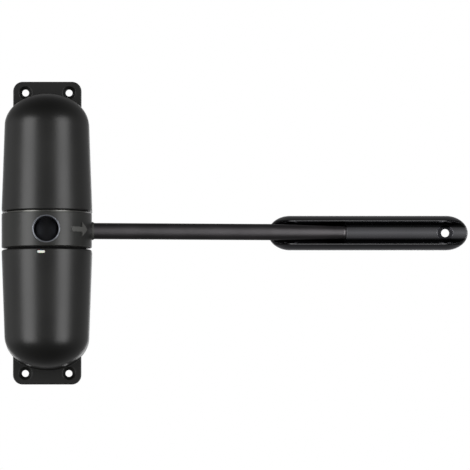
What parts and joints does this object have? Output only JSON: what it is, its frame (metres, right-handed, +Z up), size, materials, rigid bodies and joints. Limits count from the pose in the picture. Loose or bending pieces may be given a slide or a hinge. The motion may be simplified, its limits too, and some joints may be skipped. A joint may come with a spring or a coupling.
{
  "type": "door closer",
  "caption": "Surface-mounted torsion-spring door closer: two domed half housings, a turning centre ring with a winding socket, a straight swing rod and a grooved track plate.",
  "frame": {"origin": "on the mounting plane, at the centre of the four body screws, level with the middle of the centre ring", "axes": "+X along the resting rod towards the track plate, +Y into the wall or door face, +Z up along the body"},
  "size_m": [0.244, 0.0484, 0.1588],
  "materials": {
    "housing_black": "satin black powder coat",
    "ring_black": "satin black powder coat, a shade lighter than the housings",
    "rod_black": "satin black coating on round steel bar",
    "track_black": "semi-gloss black paint",
    "winding_steel": "blued steel, machined face",
    "hub_black": "turned steel, black oxide",
    "nylon": "natural white nylon",
    "turned_steel": "turned steel, lightly oiled",
    "spring_steel": "oil-tempered spring steel"
  },
  "bodies": {
    "housing": {"upper_housing": "housing_black", "lower_housing": "housing_black", "upper_bush": "nylon", "lower_bush": "nylon", "upper_spring_anchor": "turned_steel", "lower_spring_anchor": "turned_steel", "spindle": "turned_steel", "spindle_pins": "turned_steel", "thrust_washers": "turned_steel", "spindle_circlips": "spring_steel", "upper_spring": "spring_steel", "lower_spring": "spring_steel"},
    "arm": {"drive_hub": "hub_black", "upper_drive_plate": "turned_steel", "lower_drive_plate": "turned_steel", "center_ring": "ring_black", "ring_keys": "turned_steel", "winding_bush": "winding_steel", "swing_rod": "rod_black"},
    "track": {"track_plate": "track_black"}
  },
  "joints": [
    {"name": "arm_swing", "type": "hinge", "parent": "housing", "child": "arm", "pos_m": [0, -0.0246, 0], "axis": [0, 0, -1], "range_deg": [0, 110], "stiffness_Nm_per_rad": 2.6, "springref_deg": -51.57, "deforming": ["upper_spring", "lower_spring"]},
    {"name": "track_slide", "type": "slide", "parent": "arm", "child": "track", "axis": [-1, 0, 0], "range_m": [0, 0.054]}
  ],
  "couplings": [
    {"joint": "track_slide", "follows": "arm_swing", "m_per_rad": 0.028}
  ]
}
